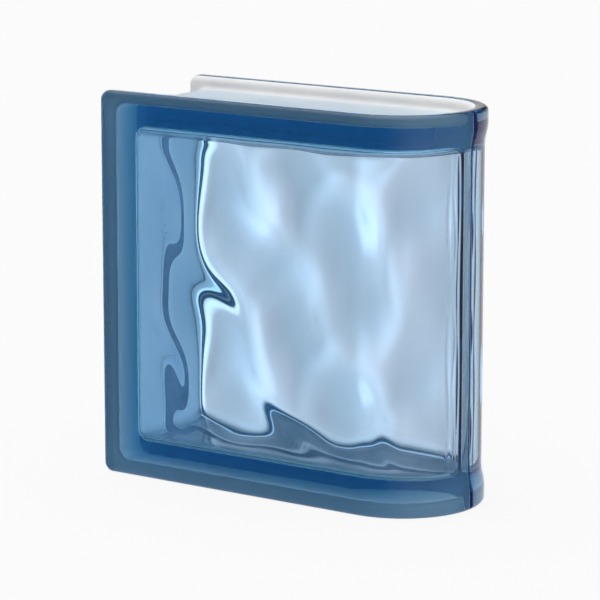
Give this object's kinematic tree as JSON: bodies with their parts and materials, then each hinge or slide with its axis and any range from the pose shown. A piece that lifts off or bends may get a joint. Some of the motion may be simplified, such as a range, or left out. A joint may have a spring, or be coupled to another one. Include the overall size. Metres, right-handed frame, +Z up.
{
  "type": "glass block",
  "caption": "Hollow blue glass end block: flat faces over a wavy pressed inside, square at one end and half-round at the other, with mortar channels between its rims.",
  "frame": {"origin": "middle of the block's foot, on the floor", "axes": "+X towards the half-round nose, +Y from the front face to the back face, +Z up"},
  "size_m": [0.19, 0.08, 0.19],
  "materials": {
    "blue_glass": "clear pressed glass, blue in the mass, polished outside; matt white key coat in the mortar channel"
  },
  "bodies": {
    "root": {"front_shell": "blue_glass", "back_shell": "blue_glass"}
  },
  "joints": []
}
